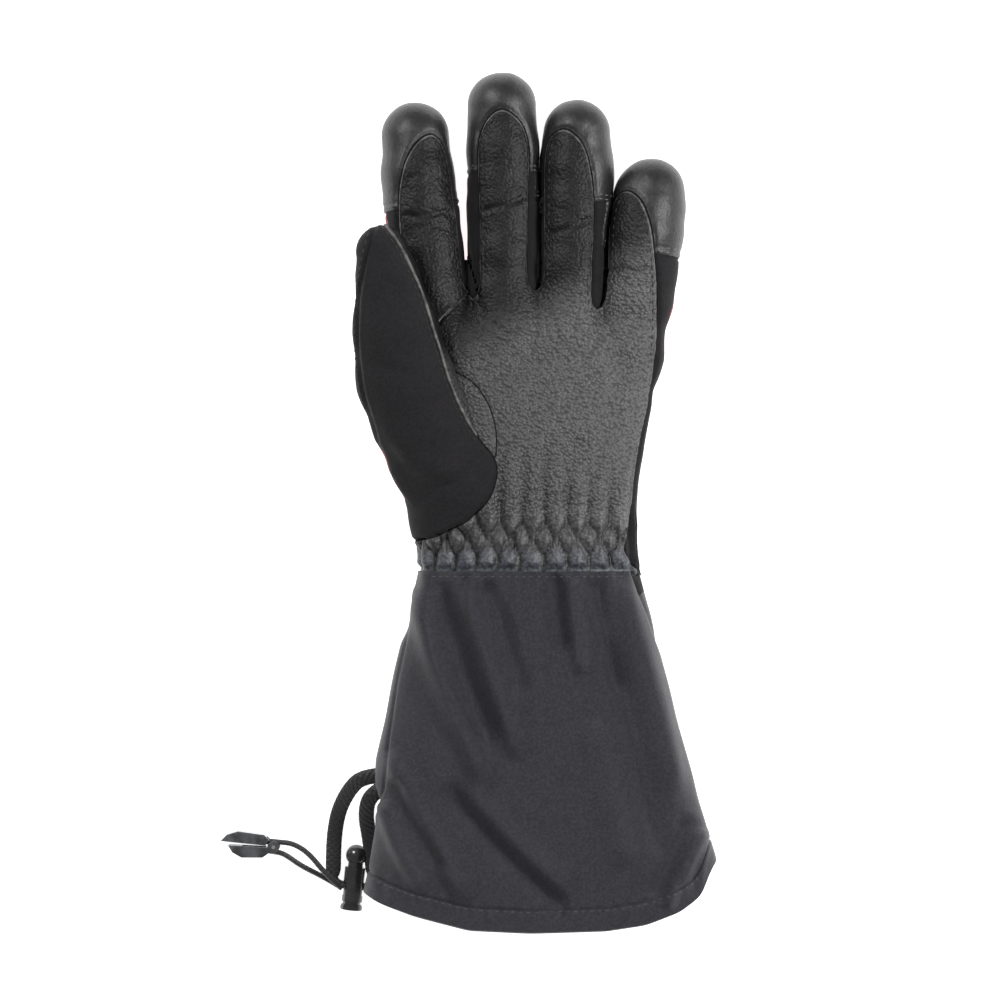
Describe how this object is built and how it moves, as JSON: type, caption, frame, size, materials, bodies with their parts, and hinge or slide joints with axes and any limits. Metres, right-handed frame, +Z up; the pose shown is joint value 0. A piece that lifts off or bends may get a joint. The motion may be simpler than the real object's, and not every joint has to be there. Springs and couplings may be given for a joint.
{
  "type": "ski glove",
  "caption": "Left-hand insulated ski glove with leather palm and fingers, gathered elastic wrist, long flared gauntlet, drawcord, sprung cord lock and two-leaf pull clip, lying palm up.",
  "frame": {"origin": "on the resting plane under the glove, half way along its length and width, cords left out", "axes": "+Y from the cuff to the fingertips, +Z up out of the palm, thumb at -X"},
  "size_m": [0.2105, 0.3672, 0.0582],
  "materials": {
    "leather": "pebbled",
    "softshell": "matt knit",
    "back_fabric": "matt woven",
    "nylon": "fine woven",
    "insulation": "lofted",
    "fleece": "brushed",
    "elastic": "matt",
    "cord": "braided",
    "lock_plastic": "satin",
    "clip_plastic": "satin",
    "spring_steel": "bright"
  },
  "bodies": {
    "hand": {"palm_leather": "leather", "hand_back_panel": "back_fabric", "hand_padding": "insulation", "hand_lining": "fleece", "wrist_leather_band": "leather", "wrist_back_band": "softshell", "wrist_elastic": "elastic"},
    "index_inner": {"index_strip_inner": "leather", "index_shell_inner": "softshell", "index_padding_inner": "insulation"},
    "index_outer": {"index_strip_outer": "leather", "index_shell_outer": "softshell", "index_tip_cap": "leather", "index_padding_outer": "insulation"},
    "middle_inner": {"middle_strip_inner": "leather", "middle_shell_inner": "softshell", "middle_padding_inner": "insulation"},
    "middle_outer": {"middle_strip_outer": "leather", "middle_shell_outer": "softshell", "middle_tip_cap": "leather", "middle_padding_outer": "insulation"},
    "ring_inner": {"ring_strip_inner": "leather", "ring_shell_inner": "softshell", "ring_padding_inner": "insulation"},
    "ring_outer": {"ring_strip_outer": "leather", "ring_shell_outer": "softshell", "ring_tip_cap": "leather", "ring_padding_outer": "insulation"},
    "little_inner": {"little_strip_inner": "leather", "little_shell_inner": "softshell", "little_padding_inner": "insulation"},
    "little_outer": {"little_strip_outer": "leather", "little_tip_cap": "leather", "little_padding_outer": "insulation"},
    "thumb_web": {"thumb_keystone": "leather"},
    "thumb_inner": {"thumb_back_inner": "back_fabric", "thumb_front_inner": "softshell", "thumb_leather_inner": "leather", "thumb_padding_inner": "insulation"},
    "thumb_outer": {"thumb_back_outer": "back_fabric", "thumb_front_outer": "softshell", "thumb_leather_outer": "leather", "thumb_padding_outer": "insulation"},
    "gauntlet": {"gauntlet_front": "nylon", "gauntlet_back": "nylon", "gauntlet_hem": "nylon", "gauntlet_lining": "fleece", "cinch_channel": "nylon", "cinch_cord_inside": "cord", "cord_exit_patch": "nylon", "drawcord": "cord"},
    "cord_lock": {"lock_housing": "lock_plastic", "lock_spring": "spring_steel", "pull_cord_near": "cord", "pull_cord_far": "cord", "clip_leaf_large": "clip_plastic", "clip_pin": "spring_steel"},
    "lock_button": {"lock_button": "lock_plastic"},
    "clip_leaf": {"clip_leaf_small": "clip_plastic"}
  },
  "joints": [
    {"name": "index_base", "type": "hinge", "parent": "hand", "child": "index_inner", "pos_m": [-0.0421, 0.0832, 0.015], "axis": [1, 0, 0], "range_deg": [0, 85], "stiffness_Nm_per_rad": 0.02},
    {"name": "index_middle", "type": "hinge", "parent": "index_inner", "child": "index_outer", "pos_m": [-0.04766, 0.12382, 0.015], "axis": [1, 0, 0], "range_deg": [0, 85], "stiffness_Nm_per_rad": 0.015},
    {"name": "middle_base", "type": "hinge", "parent": "hand", "child": "middle_inner", "pos_m": [-0.0138, 0.0854, 0.015], "axis": [1, 0, 0], "range_deg": [0, 85], "stiffness_Nm_per_rad": 0.02},
    {"name": "middle_middle", "type": "hinge", "parent": "middle_inner", "child": "middle_outer", "pos_m": [-0.0138, 0.1274, 0.015], "axis": [1, 0, 0], "range_deg": [0, 85], "stiffness_Nm_per_rad": 0.015},
    {"name": "ring_base", "type": "hinge", "parent": "hand", "child": "ring_inner", "pos_m": [0.0146, 0.0854, 0.015], "axis": [1, 0, 0], "range_deg": [0, 85], "stiffness_Nm_per_rad": 0.02},
    {"name": "ring_middle", "type": "hinge", "parent": "ring_inner", "child": "ring_outer", "pos_m": [0.01692, 0.12333, 0.015], "axis": [1, 0, 0], "range_deg": [0, 85], "stiffness_Nm_per_rad": 0.015},
    {"name": "little_base", "type": "hinge", "parent": "hand", "child": "little_inner", "pos_m": [0.0444, 0.0789, 0.015], "axis": [1, 0, 0], "range_deg": [0, 85], "stiffness_Nm_per_rad": 0.02},
    {"name": "little_middle", "type": "hinge", "parent": "little_inner", "child": "little_outer", "pos_m": [0.04811, 0.10867, 0.015], "axis": [1, 0, 0], "range_deg": [0, 85], "stiffness_Nm_per_rad": 0.015},
    {"name": "thumb_web", "type": "hinge", "parent": "hand", "child": "thumb_web", "pos_m": [-0.0426, 0.025, 0.027], "axis": [0, 0, 1], "range_deg": [0, 22.5], "stiffness_Nm_per_rad": 0.02},
    {"name": "thumb_base", "type": "hinge", "parent": "thumb_web", "child": "thumb_inner", "pos_m": [-0.0426, 0.025, 0.027], "axis": [0, 0, 1], "range_deg": [0, 25], "stiffness_Nm_per_rad": 0.03},
    {"name": "thumb_middle", "type": "hinge", "parent": "thumb_inner", "child": "thumb_outer", "pos_m": [-0.0585, 0.084, 0.043], "axis": [0.338, 0.1111, -0.9346], "range_deg": [0, 70], "stiffness_Nm_per_rad": 0.015},
    {"name": "wrist", "type": "hinge", "parent": "hand", "child": "gauntlet", "pos_m": [0, -0.02255, 0.02], "axis": [-1, 0, 0], "range_deg": [-20, 40], "stiffness_Nm_per_rad": 0.15, "deforming": ["wrist_leather_band", "wrist_back_band", "wrist_elastic"]},
    {"name": "lock_slide", "type": "slide", "parent": "gauntlet", "child": "cord_lock", "axis": [0.1392, 0.9903, 0], "range_m": [0, 0.018], "deforming": ["drawcord"]},
    {"name": "lock_press", "type": "slide", "parent": "cord_lock", "child": "lock_button", "axis": [-0.1045, -0.9945, 0], "range_m": [0, 0.0022], "stiffness_N_per_m": 1500, "springref_m": -0.001, "deforming": ["lock_spring"]},
    {"name": "clip_hinge", "type": "hinge", "parent": "cord_lock", "child": "clip_leaf", "pos_m": [-0.1132, -0.151, 0.0044], "axis": [0, 0, 1], "range_deg": [-3, 40]}
  ],
  "couplings": [
    {"joint": "thumb_web", "follows": "index_base", "ratio": 0.26}
  ]
}
